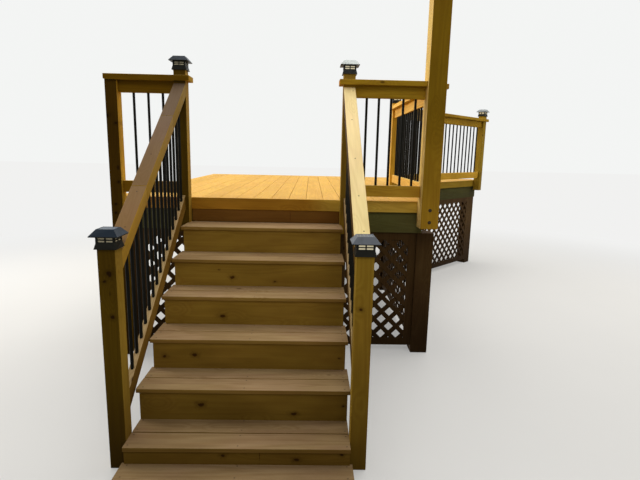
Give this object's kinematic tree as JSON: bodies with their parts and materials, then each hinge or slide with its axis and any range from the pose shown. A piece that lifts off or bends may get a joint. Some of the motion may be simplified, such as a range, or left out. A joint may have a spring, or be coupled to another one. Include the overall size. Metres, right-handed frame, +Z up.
{
  "type": "wooden deck stair",
  "caption": "Straight wooden stair with cut stringers, plank treads, closed risers and guards, rising to a framed landing with a slanted wing, lattice skirt and lantern post caps.",
  "frame": {"origin": "middle of the middle stringer's foot face, at ground level", "axes": "+X to the right as one climbs, +Y into the climb towards the landing, +Z up"},
  "size_m": [4.2175, 5.6855, 3.535],
  "materials": {
    "post_wood": "semi-transparent cedar stain, satin",
    "rail_wood": "semi-transparent cedar stain, satin",
    "tread_wood": "worn cedar stain, satin",
    "riser_wood": "semi-transparent cedar stain, satin",
    "deck_wood": "worn cedar stain, satin",
    "rim_wood": "treated and weathered, matte",
    "frame_wood": "treated and weathered, matte",
    "baluster_black": "black powder coat, satin",
    "cap_black": "moulded black, satin",
    "lens_pale": "pale translucent, gloss",
    "solar_cell": "dark blue-grey under a clear cover, gloss"
  },
  "bodies": {
    "root": {"stringer_left": "frame_wood", "stringer_middle": "frame_wood", "stringer_right": "frame_wood", "hanger_board": "frame_wood", "tread_1": "tread_wood", "tread_2": "tread_wood", "tread_3": "tread_wood", "tread_4": "tread_wood", "tread_5": "tread_wood", "tread_6": "tread_wood", "tread_7": "tread_wood", "risers": "riser_wood", "newel_bottom_left": "post_wood", "newel_bottom_right": "post_wood", "newel_top_left": "post_wood", "newel_top_right": "post_wood", "wall_post": "post_wood", "tall_post": "post_wood", "corner_post": "post_wood", "wing_post": "post_wood", "handrail_left": "rail_wood", "handrail_right": "rail_wood", "stair_bottom_rail_left": "rail_wood", "stair_bottom_rail_right": "rail_wood", "stair_balusters_left": "baluster_black", "stair_balusters_right": "baluster_black", "cap_rail_left": "rail_wood", "cap_rail_right": "rail_wood", "cap_rail_side": "rail_wood", "front_guard_rails": "rail_wood", "front_guard_balusters": "baluster_black", "side_guard_rails": "rail_wood", "side_guard_balusters": "baluster_black", "decking": "deck_wood", "fascia": "rail_wood", "front_rim": "rim_wood", "back_rim": "rim_wood", "side_rim": "rim_wood", "ledger": "rim_wood", "joists": "frame_wood", "support_posts": "frame_wood", "lattice_front_left": "frame_wood", "lattice_front_right": "frame_wood", "lattice_side": "frame_wood", "lattice_wing": "frame_wood", "post_caps": "cap_black", "cap_lenses": "lens_pale", "solar_panels": "solar_cell"}
  },
  "joints": []
}
